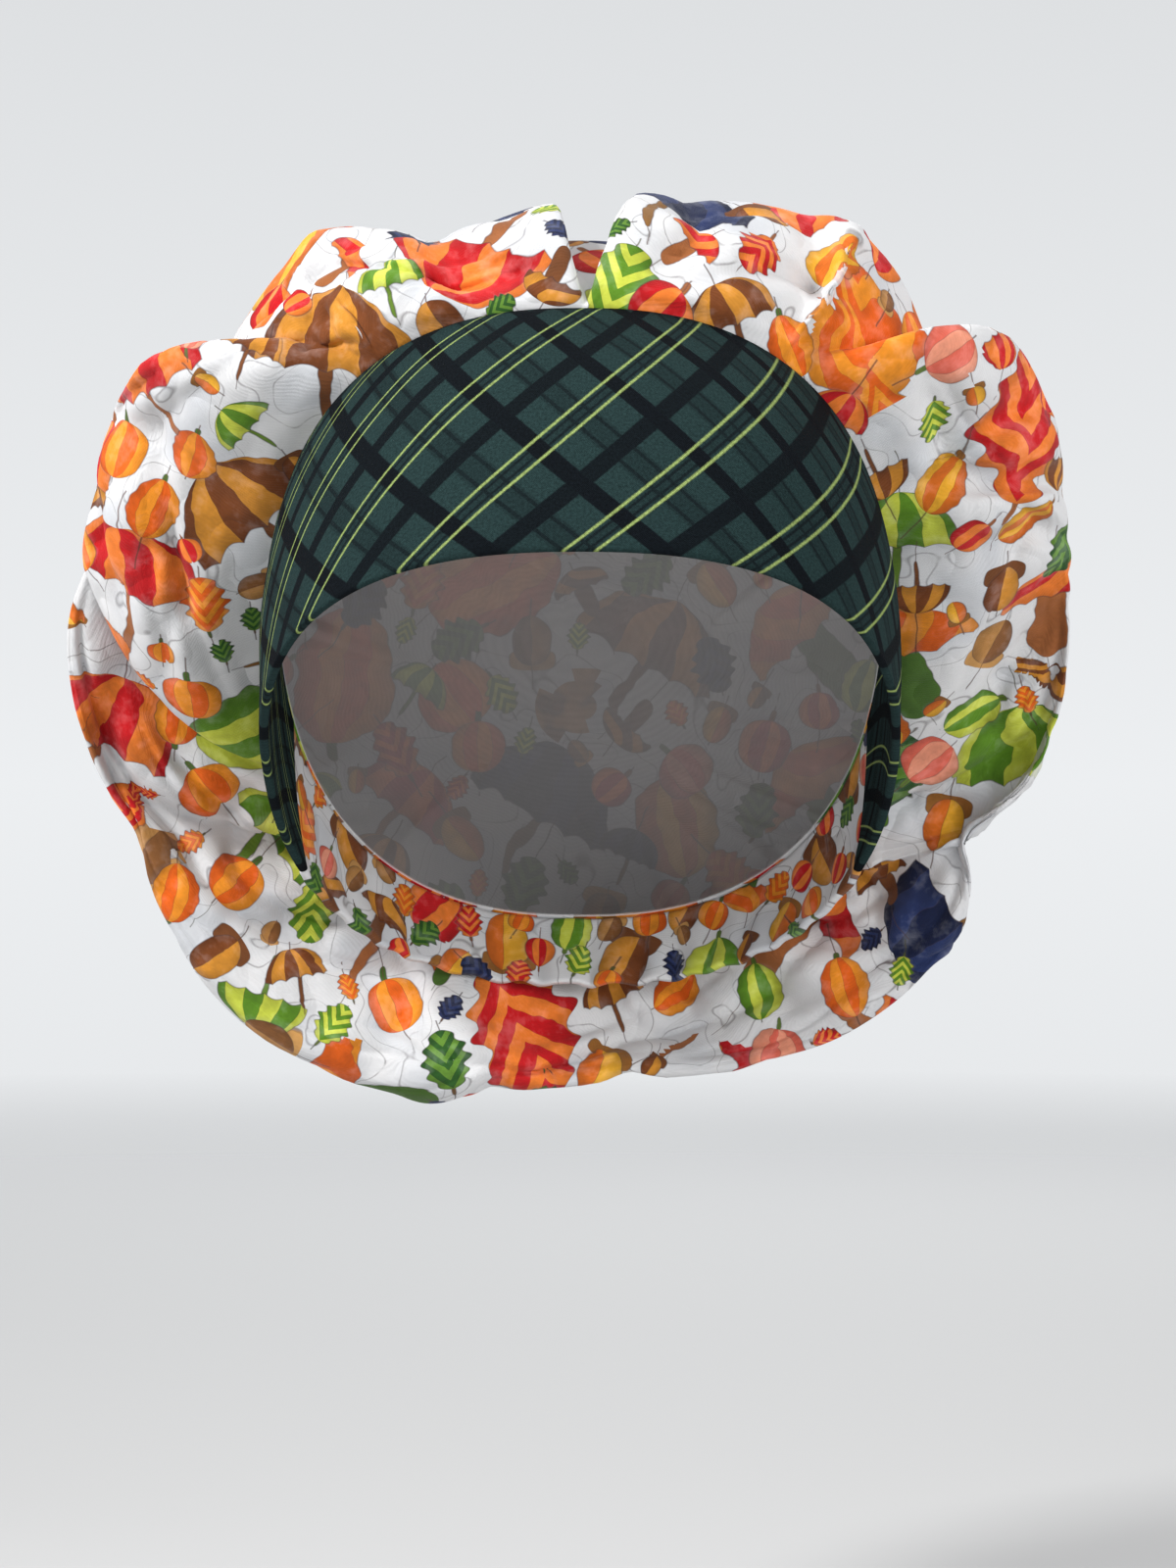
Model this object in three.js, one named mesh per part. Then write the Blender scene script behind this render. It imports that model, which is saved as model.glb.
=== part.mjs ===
// A bouffant scrub cap in its worn shape: a fitted front band, a full bouffant pleated into it,
// and a gathered elastic casing round the nape. Millimetres, +Z up, the face looks along -Y.
// The origin is the centre of the leaning opening, midway between the forehead and the nape.
import * as THREE from "three";

// The fitted pieces follow a squared ellipsoid, which is the cap's own hollow.
const HOLLOW_HALF_WIDTH = 77.5;
const HOLLOW_HALF_DEPTH = 95;
const HOLLOW_HALF_HEIGHT = 103;
const HOLLOW_CENTRE_Y = 7;
const HOLLOW_CENTRE_Z = 20;
const HOLLOW_SQUARENESS = 2.4;

// The free lower edge, from the forehead past the ears to the nape: z = ear height - fall y - arch y squared.
const RIM_EAR_Z = 5;
const RIM_FALL = 0.63;
const RIM_ARCH = 0.00078;

// The seam between the bouffant and what it is sewn to lies in a leaning plane through the hub.
const HUB_Y = 24.5;
const HUB_Z = 36;
const SEAM_LEAN = 0.9375;

const BAND_WALL = 2.4;
const BAND_END_AZIMUTH = 116;
const BAND_COLUMNS = 56;
const BAND_ROWS = 6;

const CASING_WALL = 2.4;
const CASING_GATHERS = 17;
const COLUMNS_PER_GATHER = 4;
const CASING_ROWS = 3;
const GATHER_DEPTH = 1.5;

const SEAM_GAP = 0.3;

const BOUFFANT_WALL = 1.2;
const BOUFFANT_REACH = 56;
const BOUFFANT_FORWARD = 22;
// The silhouette's depth at the sides, and how much further forward it lies at the top.
const WIDEST_Y = 40;
const WIDEST_LEAN = 45;
const BOUFFANT_BACK_Y = 150;
const BOUFFANT_BACK_Z = 22;
const FRONT_ROWS = 9;
const BACK_ROWS = 8;

// One row for each fold line, clockwise as the face is seen, and for the stretch of cloth up to the next.
// seam and outline are the fold line's angles from the top, in degrees, at the seam and at the silhouette,
// and lean bends it between the two, so that one stretch of cloth overhangs the next.
// reach and rise are shares of BOUFFANT_REACH: how far out the fold line stands, and how much further
// the stretch puffs up past it. push and puff are shares of BOUFFANT_FORWARD: how far the fold line and the
// stretch come to the front. columns is how many steps the stretch is made in.
const FOLDS = [
  { seam: -167, outline: -168, lean: 0, reach: 0.76, rise: 0.05, push: 0.1, puff: 0.4, columns: 4 },
  { seam: -152, outline: -157, lean: 0, reach: 0.87, rise: 0.06, push: 0.1, puff: 0.4, columns: 5 },
  { seam: -141, outline: -128, lean: 4, reach: 0.905, rise: 0.01, push: 0.0, puff: 0.5, columns: 4 },
  { seam: -130, outline: -117, lean: 6, reach: 0.82, rise: 0.06, push: 0.0, puff: 0.5, columns: 5 },
  { seam: -115, outline: -89.5, lean: 6, reach: 0.92, rise: 0, push: -0.1, puff: 0, columns: 1 },
  { seam: -114, outline: -86, lean: 11, reach: 0.8, rise: 0, push: -0.5, puff: 0.2, columns: 2 },
  { seam: -112, outline: -81, lean: 0, reach: 0.88, rise: 0.04, push: 0.8, puff: 0.5, columns: 5 },
  { seam: -68, outline: -68, lean: 4, reach: 0.92, rise: 0.01, push: 0.2, puff: 0.4, columns: 3 },
  { seam: -44, outline: -58.5, lean: 0, reach: 0.9, rise: 0, push: 0.6, puff: 0, columns: 2 },
  { seam: -38, outline: -51, lean: -4, reach: 0.62, rise: -0.01, push: -0.4, puff: 0.4, columns: 4 },
  { seam: -35.5, outline: -30, lean: -3, reach: 0.76, rise: 0, push: -0.2, puff: 0.5, columns: 4 },
  { seam: -18, outline: -20, lean: 0, reach: 0.475, rise: 0.02, push: 0.3, puff: 0.2, columns: 4 },
  { seam: 0, outline: -3.6, lean: 1, reach: 0.56, rise: 0, push: 0.3, puff: 0, columns: 1 },
  { seam: 0.7, outline: -3, lean: -3, reach: 0.4, rise: 0, push: -0.7, puff: 0, columns: 2 },
  { seam: 1.3, outline: 6.6, lean: 3, reach: 0.4, rise: 0, push: -0.7, puff: 0, columns: 1 },
  { seam: 2, outline: 7.2, lean: -1, reach: 0.6, rise: 0.02, push: 0.3, puff: 0.2, columns: 5 },
  { seam: 35.5, outline: 25, lean: 3, reach: 0.7, rise: 0.02, push: -0.3, puff: 0.4, columns: 3 },
  { seam: 37, outline: 33, lean: 2, reach: 0.77, rise: 0, push: 0.1, puff: 0.1, columns: 3 },
  { seam: 39, outline: 48, lean: 4, reach: 0.57, rise: 0, push: -0.4, puff: 0, columns: 2 },
  { seam: 44, outline: 55.5, lean: -1, reach: 0.9, rise: 0, push: 0.5, puff: 0.3, columns: 2 },
  { seam: 61, outline: 59, lean: 3, reach: 0.935, rise: 0.02, push: -0.1, puff: 0.4, columns: 3 },
  { seam: 66, outline: 70, lean: 2, reach: 0.87, rise: 0.01, push: 0.1, puff: 0.5, columns: 3 },
  { seam: 77, outline: 79, lean: -2, reach: 0.85, rise: 0.03, push: 0.1, puff: 0.6, columns: 5 },
  { seam: 111, outline: 92, lean: -8, reach: 0.83, rise: 0.02, push: -0.3, puff: 0.6, columns: 5 },
  { seam: 127, outline: 108, lean: -5, reach: 0.8, rise: 0.01, push: -0.2, puff: 0.5, columns: 4 },
  { seam: 137, outline: 119, lean: -3, reach: 0.585, rise: 0.09, push: -0.2, puff: 0.5, columns: 5 },
  { seam: 146, outline: 133, lean: -2, reach: 0.83, rise: 0.02, push: 0, puff: 0.4, columns: 4 },
  { seam: 160, outline: 153, lean: -1, reach: 0.82, rise: 0.02, push: 0.1, puff: 0.4, columns: 5 },
  { seam: 176, outline: 174, lean: 0, reach: 0.7, rise: 0.04, push: 0.1, puff: 0.3, columns: 4 },
];
// The shares of BOUFFANT_REACH that the folds settle to behind the silhouette.
const SETTLED_TOP = 0.5;
const SETTLED_SIDE = 0.88;
const SETTLED_FOOT = 0.74;
const PUFF_SQUARENESS = 3;
// How a column swells: shares of its reach, its push and its way to the silhouette or to the back.
const FIRST_RISE = 0.45;
const FIRST_PUSH = 0.4;
const SETBACK = 0.35;
const BACK_FULLNESS = 0.55;
const BACK_ROUNDNESS = 0.62;
// Where along a column the folds lean over, straighten again, begin to settle and have settled.
const LEAN_START = 0.05;
const LEAN_FULL = 0.6;
const STRAIGHT_START = 1;
const STRAIGHT_FULL = 1.6;
const SETTLE_START = 1.1;
const SETTLE_FULL = 1.8;
const SAG_START = 0.6;

const BAND_COLOUR = 0x2f4a47;
const PRINT_COLOUR = 0xe9e4df;
const CLOTH_ROUGHNESS = 0.9;

const degrees = THREE.MathUtils.degToRad;
const mix = THREE.MathUtils.lerp;
const smooth = THREE.MathUtils.smoothstep;
const FULL_TURN = 360;

// The value between low and high where rising(value) crosses zero, found by halving.
function crossing(rising, low, high) {
  for (let step = 0; step < 60; step++) {
    const middle = (low + high) / 2;
    if (rising(middle) < 0) low = middle;
    else high = middle;
  }
  return (low + high) / 2;
}

// Below zero inside the hollow, and above zero outside it.
function hollowField(p) {
  const term = (value, half) => Math.abs(value / half) ** HOLLOW_SQUARENESS;
  return (
    term(p.x, HOLLOW_HALF_WIDTH) +
    term(p.y - HOLLOW_CENTRE_Y, HOLLOW_HALF_DEPTH) +
    term(p.z - HOLLOW_CENTRE_Z, HOLLOW_HALF_HEIGHT) -
    1
  );
}

const FAR = 2 * (HOLLOW_HALF_WIDTH + HOLLOW_HALF_DEPTH + HOLLOW_HALF_HEIGHT);
const HOLLOW_CENTRE = new THREE.Vector3(0, HOLLOW_CENTRE_Y, HOLLOW_CENTRE_Z);

// Where a ray leaves the hollow. at(distance) is the point of the ray.
function onHollow(at) {
  return at(crossing((distance) => hollowField(at(distance)), 0, FAR));
}

function hollowNormal(p) {
  const slope = (value, half) =>
    (Math.sign(value) * Math.abs(value / half) ** (HOLLOW_SQUARENESS - 1)) / half;
  return new THREE.Vector3(
    slope(p.x, HOLLOW_HALF_WIDTH),
    slope(p.y - HOLLOW_CENTRE_Y, HOLLOW_HALF_DEPTH),
    slope(p.z - HOLLOW_CENTRE_Z, HOLLOW_HALF_HEIGHT),
  ).normalize();
}

// A point of the hollow at an azimuth counted from the front, with its height given by its depth.
function atAzimuth(azimuth, heightOf) {
  const [across, along] = [Math.sin(degrees(azimuth)), -Math.cos(degrees(azimuth))];
  return onHollow((distance) => {
    const y = HOLLOW_CENTRE_Y + distance * along;
    return new THREE.Vector3(distance * across, y, heightOf(y));
  });
}

const rimHeight = (y) => RIM_EAR_Z - RIM_FALL * y - RIM_ARCH * y * y;
const seamHeight = (y) => HUB_Z - (y - HUB_Y) / SEAM_LEAN;

// A point between rim (share 0) and seam (share 1) along one azimuth, lifted off the hollow.
function stripPoint(azimuth, share, lift) {
  const low = atAzimuth(azimuth, rimHeight).sub(HOLLOW_CENTRE).normalize();
  const high = atAzimuth(azimuth, seamHeight).sub(HOLLOW_CENTRE).normalize();
  const towards = low.lerp(high, share).normalize();
  const point = onHollow((distance) => towards.clone().multiplyScalar(distance).add(HOLLOW_CENTRE));
  return point.addScaledVector(hollowNormal(point), lift);
}

// The bouffant's own edge, a sewing gap behind the seam, at an angle from the top as the face is seen.
function seamPoint(angle, lift) {
  const [across, up] = [Math.sin(degrees(angle)), Math.cos(degrees(angle))];
  const behind = new THREE.Vector3(0, 1, SEAM_LEAN).setLength(SEAM_GAP);
  const point = onHollow((d) =>
    new THREE.Vector3(d * across, HUB_Y - SEAM_LEAN * d * up, HUB_Z + d * up).add(behind),
  );
  return point.addScaledVector(hollowNormal(point), lift);
}

// A closed solid from an outer and an inner sheet of points, [row][column], joined along their edges.
// A sheet that goes all the way round has no side edges, and one that ends in a pole has no last row.
function solidFromSheets(outer, inner, { round = false, poles = null } = {}) {
  const rows = outer.length;
  const columns = outer[0].length;
  const positions = [];
  const index = [];
  const put = (p) => positions.push(p.x, p.y, p.z) / 3 - 1;
  const [outside, inside] = [outer, inner].map((sheet) => sheet.map((row) => row.map(put)));
  const face = (a, b, c, d) => index.push(a, b, c, a, c, d);
  const next = (column) => (column + 1) % columns;
  const spans = round ? columns : columns - 1;
  for (let r = 0; r < rows - 1; r++)
    for (let c = 0; c < spans; c++) {
      face(outside[r][c], outside[r][next(c)], outside[r + 1][next(c)], outside[r + 1][c]);
      face(inside[r][c], inside[r + 1][c], inside[r + 1][next(c)], inside[r][next(c)]);
    }
  const last = rows - 1;
  for (let c = 0; c < spans; c++)
    face(outside[0][c], inside[0][c], inside[0][next(c)], outside[0][next(c)]);
  if (poles) {
    const [top, under] = poles.map(put);
    for (let c = 0; c < spans; c++) {
      index.push(outside[last][c], outside[last][next(c)], top);
      index.push(inside[last][c], under, inside[last][next(c)]);
    }
  } else
    for (let c = 0; c < spans; c++)
      face(outside[last][c], outside[last][next(c)], inside[last][next(c)], inside[last][c]);
  if (!round)
    for (let r = 0; r < last; r++) {
      face(outside[r][0], outside[r + 1][0], inside[r + 1][0], inside[r][0]);
      face(outside[r][spans], inside[r][spans], inside[r + 1][spans], outside[r + 1][spans]);
    }
  const geometry = new THREE.BufferGeometry();
  geometry.setAttribute("position", new THREE.Float32BufferAttribute(positions, 3));
  geometry.setIndex(index);
  return geometry;
}

const gridOf = (rows, columns, make) =>
  Array.from({ length: rows }, (_, r) => Array.from({ length: columns }, (_, c) => make(r, c)));

function named(name, geometry, color) {
  const cloth = new THREE.MeshStandardMaterial({ color, roughness: CLOTH_ROUGHNESS, metalness: 0 });
  const mesh = new THREE.Mesh(geometry, cloth);
  mesh.name = name;
  return mesh;
}

function frontBand() {
  const point = (lift) =>
    gridOf(BAND_ROWS + 1, BAND_COLUMNS + 1, (r, c) =>
      stripPoint(BAND_END_AZIMUTH * ((2 * c) / BAND_COLUMNS - 1), r / BAND_ROWS, lift),
    );
  return named("front_band", solidFromSheets(point(BAND_WALL), point(0)), BAND_COLOUR);
}

// The casing carries on where the band ends, round the back, with its cloth drawn up in soft gathers.
function napeCasing() {
  const columns = CASING_GATHERS * COLUMNS_PER_GATHER;
  const gap = THREE.MathUtils.radToDeg(SEAM_GAP / HOLLOW_HALF_WIDTH);
  const start = BAND_END_AZIMUTH + gap;
  const end = FULL_TURN - start;
  const lift = (r, c) => {
    const along = c / columns;
    const fading = Math.sqrt(Math.sin(Math.PI * along)) * (1 - (r / CASING_ROWS) ** 2);
    const wave = (1 - Math.cos(2 * Math.PI * CASING_GATHERS * along)) / 2;
    return GATHER_DEPTH * wave * fading;
  };
  const point = (wall) =>
    gridOf(CASING_ROWS + 1, columns + 1, (r, c) =>
      stripPoint(mix(start, end, c / columns), r / CASING_ROWS, lift(r, c) + wall),
    );
  return named("nape_casing", solidFromSheets(point(CASING_WALL), point(0)), PRINT_COLOUR);
}

// How a stretch puffs up between its two fold lines: 0 at each and 1 in the middle.
const puffShape = (across) => 1 - Math.abs(2 * across - 1) ** PUFF_SQUARENESS;

function cubic(a, b, c, d, t) {
  const s = 1 - t;
  return s * s * s * a + 3 * s * s * t * b + 3 * s * t * t * c + t * t * t * d;
}

// The columns of the bouffant, each with its values mixed between the fold lines on its two sides.
function foldColumns() {
  return FOLDS.flatMap((fold, row) => {
    const next = FOLDS[(row + 1) % FOLDS.length];
    const turn = row + 1 === FOLDS.length ? FULL_TURN : 0;
    return Array.from({ length: fold.columns }, (_, step) => {
      const across = step / fold.columns;
      const between = (column, beyond = 0) => mix(fold[column], next[column] + beyond, across);
      return {
        seam: between("seam", turn),
        outline: between("outline", turn),
        lean: between("lean"),
        reach: between("reach"),
        rise: fold.rise * puffShape(across),
        push: between("push"),
        puff: fold.puff * puffShape(across),
      };
    });
  });
}

// A point of one column's outer face. along runs from the seam (0) over the silhouette (1) to the back (2).
function bouffantPoint(column, along) {
  const seam = seamPoint(column.seam, BAND_WALL + SEAM_GAP);
  const seamRadius = Math.hypot(seam.x, seam.z - HUB_Z);
  const seamTurn = THREE.MathUtils.radToDeg(Math.atan2(seam.x, seam.z - HUB_Z));
  const seamAngle = seamTurn + FULL_TURN * Math.round((column.seam - seamTurn) / FULL_TURN);
  const leaning = smooth(along, LEAN_START, LEAN_FULL) * (1 - smooth(along, STRAIGHT_START, STRAIGHT_FULL));
  const angle = degrees(mix(seamAngle, column.outline, smooth(along, 0, 1)) + column.lean * leaning);
  const upright = Math.cos(angle);
  const folded = 1 - smooth(along, SETTLE_START, SETTLE_FULL);
  const settled = mix(SETTLED_SIDE, upright > 0 ? SETTLED_TOP : SETTLED_FOOT, upright * upright);
  const radius = seamRadius + BOUFFANT_REACH * mix(settled, column.reach + column.rise, folded);
  const forward = BOUFFANT_FORWARD * (column.push + column.puff);
  const widestY = WIDEST_Y - WIDEST_LEAN * upright;
  const rise = radius - seamRadius;
  let outward;
  let y;
  if (along <= 1) {
    outward = cubic(seamRadius, seamRadius + FIRST_RISE * rise, radius, radius, along);
    const front = mix(seam.y, widestY, SETBACK) - forward;
    y = cubic(seam.y, seam.y - FIRST_PUSH * forward, front, widestY, along);
  } else {
    outward = cubic(radius, radius, BACK_ROUNDNESS * radius, 0, along - 1);
    const full = mix(widestY, BOUFFANT_BACK_Y, BACK_FULLNESS);
    y = cubic(widestY, full, BOUFFANT_BACK_Y, BOUFFANT_BACK_Y, along - 1);
  }
  const middleZ = mix(HUB_Z, BOUFFANT_BACK_Z, smooth(along, SAG_START, 2));
  return new THREE.Vector3(outward * Math.sin(angle), y, middleZ + outward * upright);
}

// The sheet's own direction out of the cloth at each point, from its neighbours.
function sheetNormals(sheet) {
  const columns = sheet[0].length;
  const last = sheet.length - 1;
  return sheet.map((row, r) =>
    row.map((_, c) => {
      const along = sheet[Math.min(r + 1, last)][c].clone().sub(sheet[Math.max(r - 1, 0)][c]);
      const around = row[(c + 1) % columns].clone().sub(row[(c + columns - 1) % columns]);
      return around.cross(along).normalize();
    }),
  );
}

function bouffant() {
  const columns = foldColumns();
  const alongOf = (row) =>
    row <= FRONT_ROWS ? row / FRONT_ROWS : 1 + (row - FRONT_ROWS) / (BACK_ROWS + 1);
  const outer = gridOf(1 + FRONT_ROWS + BACK_ROWS + 1, columns.length, (r, c) =>
    r === 0 ? seamPoint(columns[c].seam, 0) : bouffantPoint(columns[c], alongOf(r - 1)),
  );
  const normals = sheetNormals(outer);
  const inner = outer.map((row, r) =>
    row.map((p, c) => p.clone().addScaledVector(normals[r][c], -BOUFFANT_WALL)),
  );
  const pole = new THREE.Vector3(0, BOUFFANT_BACK_Y, BOUFFANT_BACK_Z);
  const poles = [pole, pole.clone().setY(pole.y - BOUFFANT_WALL)];
  return named("bouffant", solidFromSheets(outer, inner, { round: true, poles }), PRINT_COLOUR);
}

const cap = new THREE.Group();
cap.add(frontBand(), napeCasing(), bouffant());
export default cap;
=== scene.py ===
"""A bouffant scrub cap in its worn shape: plaid band, printed pleated crown and gathered nape casing."""

import logging
from collections.abc import Callable
from dataclasses import dataclass, field
from enum import Enum
from typing import NamedTuple

import bpy
import numpy as np
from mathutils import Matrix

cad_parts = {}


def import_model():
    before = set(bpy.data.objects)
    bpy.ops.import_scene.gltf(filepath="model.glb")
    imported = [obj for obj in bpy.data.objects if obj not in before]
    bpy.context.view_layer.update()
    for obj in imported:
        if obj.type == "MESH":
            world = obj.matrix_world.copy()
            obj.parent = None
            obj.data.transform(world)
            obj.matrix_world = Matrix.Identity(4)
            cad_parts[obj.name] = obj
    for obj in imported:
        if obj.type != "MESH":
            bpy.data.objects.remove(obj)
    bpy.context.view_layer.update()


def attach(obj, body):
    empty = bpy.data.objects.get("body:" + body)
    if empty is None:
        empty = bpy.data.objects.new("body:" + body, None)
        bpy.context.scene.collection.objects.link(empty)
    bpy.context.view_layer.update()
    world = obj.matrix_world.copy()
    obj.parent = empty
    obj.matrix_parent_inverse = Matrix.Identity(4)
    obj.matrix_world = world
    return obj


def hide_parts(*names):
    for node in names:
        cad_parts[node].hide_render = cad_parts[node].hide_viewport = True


LOG = logging.getLogger("scrub_cap")
MM = 0.001
FULL_TURN = 360.0

Array = np.ndarray
Pair = tuple[float, float]
Spot = tuple[float, float, float]
Colour = tuple[float, float, float, float]


def mix(low: Array | float, high: Array | float, share: Array | float) -> Array | float:
    """Go from low to high by a share."""
    return low + (high - low) * share


def smooth(value: Array, start: float, end: float) -> Array:
    """Rise from 0 at start to 1 at end with level ends: t squared times (3 - 2 t)."""
    t = np.clip((value - start) / (end - start), 0.0, 1.0)
    return t * t * (3.0 - 2.0 * t)


def cubic(a: Array, b: Array, c: Array, d: Array, t: Array) -> Array:
    """Follow a Bezier curve with ends a and d and handles b and c."""
    s = 1.0 - t
    return s**3 * a + 3 * s * s * t * b + 3 * s * t * t * c + t**3 * d


def unit(vectors: Array) -> Array:
    """Scale vectors on the last axis to length 1."""
    return vectors / np.maximum(np.linalg.norm(vectors, axis=-1, keepdims=True), 1e-12)


def eased(values: Array, axis: int = 0) -> Array:
    """Blur an array that is round along an axis: a quarter of each neighbour and half of itself."""
    return (np.roll(values, 1, axis) + 2.0 * values + np.roll(values, -1, axis)) / 4.0


def cloth_noise(
    shape: tuple[int, int], across: float, along: float, seed: int, slant: float = 0.0
) -> Array:
    """Make a smooth random field on a grid that is round in its columns.

    White noise is blurred with a Gaussian that is across columns wide and along rows long, worked out
    as a product in the frequencies, and scaled to a spread of 1.

    Args:
        shape: rows and columns of the grid.
        across: the blur over the columns, in columns.
        along: the blur over the rows, in rows.
        seed: the seed of the white noise.
        slant: how far the blur is turned on the grid, in degrees.

    Returns:
        The field, with mean 0 and standard deviation 1.
    """
    rows, columns = shape
    white = np.random.default_rng(seed).normal(size=(2 * rows, columns))
    down = np.fft.fftfreq(2 * rows)[:, None]
    beside = np.fft.fftfreq(columns)[None, :]
    cos, sin = np.cos(np.radians(slant)), np.sin(np.radians(slant))
    waves_along = (down * cos + beside * sin) * along
    waves_across = (beside * cos - down * sin) * across
    blur = np.exp(-2.0 * np.pi**2 * (waves_along**2 + waves_across**2))
    noise = np.real(np.fft.ifft2(np.fft.fft2(white) * blur))[:rows]
    return (noise - noise.mean()) / noise.std()


@dataclass(frozen=True)
class Hollow:
    """The squared ellipsoid that the fitted pieces follow, in millimetres."""

    half_width: float = 77.5
    half_depth: float = 95.0
    half_height: float = 103.0
    centre_y: float = 7.0
    centre_z: float = 20.0
    squareness: float = 2.4
    halvings: int = 50

    @property
    def centre(self) -> Array:
        """The middle of the hollow."""
        return np.array([0.0, self.centre_y, self.centre_z])

    @property
    def halves(self) -> Array:
        """The half width, depth and height."""
        return np.array([self.half_width, self.half_depth, self.half_height])

    def field(self, points: Array) -> Array:
        """Sum of (distance / half) to the power of the squareness, less 1: below 0 inside."""
        return (np.abs((points - self.centre) / self.halves) ** self.squareness).sum(-1) - 1.0

    def normal(self, points: Array) -> Array:
        """The way out of the hollow, the slope of the field."""
        share = (points - self.centre) / self.halves
        return unit(np.sign(share) * np.abs(share) ** (self.squareness - 1.0) / self.halves)

    def lifted(self, points: Array, lift: Array | float) -> Array:
        """Move points out along the hollow's normal."""
        return points + self.normal(points) * np.asarray(lift)[..., None]

    def leave(self, ray: Callable[[Array], Array], count: tuple[int, ...]) -> Array:
        """Find where rays leave the hollow, by halving the interval between inside and outside.

        Args:
            ray: gives the points of the rays at an array of distances.
            count: the shape of the array of distances.

        Returns:
            The points on the hollow.
        """
        low = np.zeros(count)
        high = np.full(count, 2.0 * self.halves.sum())
        for _ in range(self.halvings):
            middle = (low + high) / 2.0
            inside = self.field(ray(middle)) < 0.0
            low = np.where(inside, middle, low)
            high = np.where(inside, high, middle)
        return ray((low + high) / 2.0)


@dataclass(frozen=True)
class Cut:
    """The lower rim and the seam, which bound the fitted pieces, in millimetres."""

    hollow: Hollow = Hollow()
    rim_ear_z: float = 5.0
    rim_fall: float = 0.63
    rim_arch: float = 0.00078
    hub_y: float = 24.5
    hub_z: float = 36.0
    seam_lean: float = 0.9375
    seam_gap: float = 0.3
    band_wall: float = 2.4
    band_end: float = 116.0

    def rim_height(self, y: Array) -> Array:
        """Height of the rim at a depth: ear height - fall y - arch y squared."""
        return self.rim_ear_z - self.rim_fall * y - self.rim_arch * y * y

    def seam_height(self, y: Array) -> Array:
        """Height of the leaning plane of the seam at a depth."""
        return self.hub_z - (y - self.hub_y) / self.seam_lean

    def at_azimuth(self, azimuth: Array, height: Callable[[Array], Array]) -> Array:
        """Find where the hollow is met at an azimuth.

        Args:
            azimuth: degrees from the front.
            height: gives the height at a depth.

        Returns:
            The points on the hollow.
        """
        turn = np.radians(azimuth)

        def ray(distance: Array) -> Array:
            """Go out from the hollow's upright axis at the azimuth."""
            y = self.hollow.centre_y - distance * np.cos(turn)
            return np.stack([distance * np.sin(turn), y, height(y)], -1)

        return self.hollow.leave(ray, azimuth.shape)

    def strip(self, azimuth: Array, share: Array, lift: Array | float) -> Array:
        """Find points between rim and seam on an azimuth, lifted off the hollow.

        The directions of the rim's and the seam's points from the centre are mixed by the share, and the
        mixed ray is carried out to the hollow.

        Args:
            azimuth: degrees from the front.
            share: 0 at the rim and 1 at the seam.
            lift: millimetres out along the normal.

        Returns:
            The points.
        """
        azimuth, share = np.broadcast_arrays(azimuth, share)
        low = unit(self.at_azimuth(azimuth, self.rim_height) - self.hollow.centre)
        high = unit(self.at_azimuth(azimuth, self.seam_height) - self.hollow.centre)
        towards = unit(mix(low, high, share[..., None]))
        points = self.hollow.leave(
            lambda distance: self.hollow.centre + distance[..., None] * towards, azimuth.shape
        )
        return self.hollow.lifted(points, lift)

    def seam(self, angle: Array, lift: Array | float) -> Array:
        """Find the crown's own edge, a sewing gap behind the seam.

        Args:
            angle: degrees from the top, round the hub.
            lift: millimetres out along the normal.

        Returns:
            The points.
        """
        turn = np.radians(angle)
        behind = self.seam_gap * unit(np.array([0.0, 1.0, self.seam_lean]))

        def ray(distance: Array) -> Array:
            """Go out from the hub in the leaning plane of the seam."""
            up = distance * np.cos(turn)
            y = self.hub_y - self.seam_lean * up
            return np.stack([distance * np.sin(turn), y, self.hub_z + up], -1) + behind

        points = self.hollow.leave(ray, angle.shape)
        return self.hollow.lifted(points, lift)


class Fold(NamedTuple):
    """One fold line of the crown and the stretch of cloth up to the next.

    Angles are in degrees from the top. reach and push are shares of the crown's own reach and forward,
    rise and puff are what the middle of the stretch adds to them, and columns is how finely it is cut.
    """

    seam: float
    outline: float
    lean: float
    reach: float
    rise: float
    push: float
    puff: float
    columns: int


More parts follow.
